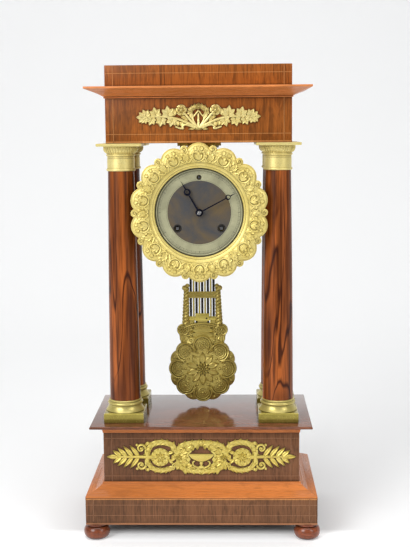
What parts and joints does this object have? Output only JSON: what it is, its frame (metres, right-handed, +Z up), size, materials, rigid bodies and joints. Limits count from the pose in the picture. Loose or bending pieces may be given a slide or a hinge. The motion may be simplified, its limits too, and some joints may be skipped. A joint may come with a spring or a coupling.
{
  "type": "portico clock",
  "caption": "Portico clock: columns on a moulded plinth carry an entablature, and a round striking movement with a lobed gilt bezel hangs below it over a swinging gridiron pendulum.",
  "frame": {"origin": "middle of the clock on the surface that its feet stand on", "axes": "+Z up, front with the dial towards -Y, +X to the right as seen from the front"},
  "size_m": [0.2436, 0.1498, 0.48],
  "materials": {
    "rosewood": "french polished",
    "column_veneer": "french polished, dark veins",
    "walnut_moulding": "polished",
    "light_wood": "satin",
    "turned_wood": "polished",
    "gilt_bronze": "matte gilding, burnished high points",
    "pendulum_gilt": "worn gilding",
    "silvered": "worn silvering",
    "dark_dial": "dark patina",
    "blued_steel": "dark blued",
    "bell_metal": "turned",
    "spring_steel": "bright",
    "dark_rod_steel": "dark",
    "steel": "plain",
    "brass": "lacquered"
  },
  "bodies": {
    "case": {"feet": "turned_wood", "bottom_board": "light_wood", "lower_base": "rosewood", "base_cove": "walnut_moulding", "plinth_block": "rosewood", "cap_moulding": "walnut_moulding", "top_plate": "rosewood", "column_bases": "gilt_bronze", "column_shaft_1": "column_veneer", "column_shaft_2": "column_veneer", "column_shaft_3": "column_veneer", "column_shaft_4": "column_veneer", "capital_1": "gilt_bronze", "capital_2": "gilt_bronze", "capital_3": "gilt_bronze", "capital_4": "gilt_bronze", "tie_rods": "steel", "tie_rod_nuts": "steel", "frieze_block": "rosewood", "cornice": "walnut_moulding", "attic_block": "rosewood", "frieze_mount": "gilt_bronze", "base_mount": "gilt_bronze", "bezel": "gilt_bronze", "sight_ring": "gilt_bronze", "chapter_ring": "silvered", "dial_centre": "dark_dial", "dial_plate": "brass", "drum": "brass", "drum_bracket": "brass", "bracket_screws": "steel", "front_plate": "brass", "back_plate": "brass", "pillars": "brass", "suspension_cock": "brass", "bell": "bell_metal", "bell_stand": "brass"},
    "centre_arbor": {"centre_wheel": "brass", "minute_hand": "blued_steel", "hand_collet": "brass"},
    "motion_wheel": {"minute_wheel": "brass"},
    "hour_pipe": {"hour_wheel": "brass", "hour_hand": "blued_steel"},
    "intermediate": {"intermediate_wheel": "brass"},
    "third": {"third_wheel": "brass"},
    "escape": {"escape_wheel": "brass"},
    "going_drum": {"going_barrel": "brass"},
    "going_key_arbor": {"going_arbor": "steel"},
    "strike_drum": {"strike_barrel": "brass"},
    "strike_key_arbor": {"strike_arbor": "steel"},
    "pendulum": {"pendulum_hook": "brass", "steel_rods": "dark_rod_steel", "brass_rods": "brass", "pendulum_frame": "pendulum_gilt", "bob": "pendulum_gilt", "suspension_spring": "spring_steel"},
    "pallets": {"anchor": "steel"},
    "regulator": {"regulator_arbor": "steel"},
    "chops": {"suspension_chops": "brass"},
    "hammer_arm": {"hammer": "steel"}
  },
  "joints": [
    {"name": "hands_turn", "type": "hinge", "parent": "case", "child": "centre_arbor", "pos_m": [0, 0, 0.33345], "axis": [0, 1, 0], "continuous": true},
    {"name": "minute_wheel_turn", "type": "hinge", "parent": "case", "child": "motion_wheel", "pos_m": [0.006, 0, 0.32306], "axis": [0, 1, 0], "continuous": true},
    {"name": "hour_turn", "type": "hinge", "parent": "case", "child": "hour_pipe", "pos_m": [0, 0, 0.33345], "axis": [0, 1, 0], "continuous": true},
    {"name": "intermediate_turn", "type": "hinge", "parent": "case", "child": "intermediate", "pos_m": [0.01604, 0, 0.33573], "axis": [0, 1, 0], "continuous": true},
    {"name": "going_barrel_turn", "type": "hinge", "parent": "case", "child": "going_drum", "pos_m": [0.0222, 0, 0.31755], "axis": [0, 1, 0], "continuous": true},
    {"name": "third_turn", "type": "hinge", "parent": "case", "child": "third", "pos_m": [-0.01211, 0, 0.34366], "axis": [0, 1, 0], "continuous": true},
    {"name": "escape_turn", "type": "hinge", "parent": "case", "child": "escape", "pos_m": [0, 0, 0.35145], "axis": [0, 1, 0], "continuous": true},
    {"name": "going_winding", "type": "hinge", "parent": "case", "child": "going_key_arbor", "pos_m": [0.0222, 0, 0.31755], "axis": [0, 1, 0], "continuous": true},
    {"name": "strike_winding", "type": "hinge", "parent": "case", "child": "strike_key_arbor", "pos_m": [-0.0222, 0, 0.31755], "axis": [0, 1, 0], "continuous": true},
    {"name": "strike_barrel_turn", "type": "hinge", "parent": "case", "child": "strike_drum", "pos_m": [-0.0222, 0, 0.31755], "axis": [0, 1, 0], "continuous": true},
    {"name": "pendulum_swing", "type": "hinge", "parent": "case", "child": "pendulum", "pos_m": [0, 0.028, 0.36195], "axis": [0, 1, 0], "range_deg": [-4.5, 4.5]},
    {"name": "anchor_rock", "type": "hinge", "parent": "case", "child": "pallets", "pos_m": [0, 0, 0.36195], "axis": [0, 1, 0], "range_deg": [-4.5, 4.5]},
    {"name": "regulator_turn", "type": "hinge", "parent": "case", "child": "regulator", "pos_m": [0, 0, 0.36875], "axis": [0, 1, 0], "range_deg": [-53.72, 53.72]},
    {"name": "chops_slide", "type": "slide", "parent": "case", "child": "chops", "axis": [0, 0, 1], "range_m": [-0.0015, 0.0015]},
    {"name": "hammer_lift", "type": "hinge", "parent": "case", "child": "hammer_arm", "pos_m": [-0.037, 0, 0.33145], "axis": [0, -1, 0], "range_deg": [0, 20]}
  ],
  "couplings": [
    {"joint": "minute_wheel_turn", "follows": "hands_turn", "ratio": -0.33333},
    {"joint": "hour_turn", "follows": "hands_turn", "ratio": 0.083333},
    {"joint": "intermediate_turn", "follows": "hands_turn", "ratio": -0.125},
    {"joint": "going_barrel_turn", "follows": "hands_turn", "ratio": 0.017857},
    {"joint": "third_turn", "follows": "hands_turn", "ratio": -10},
    {"joint": "escape_turn", "follows": "hands_turn", "ratio": 110},
    {"joint": "anchor_rock", "follows": "pendulum_swing", "ratio": 1},
    {"joint": "regulator_turn", "follows": "chops_slide", "rad_per_m": -625}
  ]
}
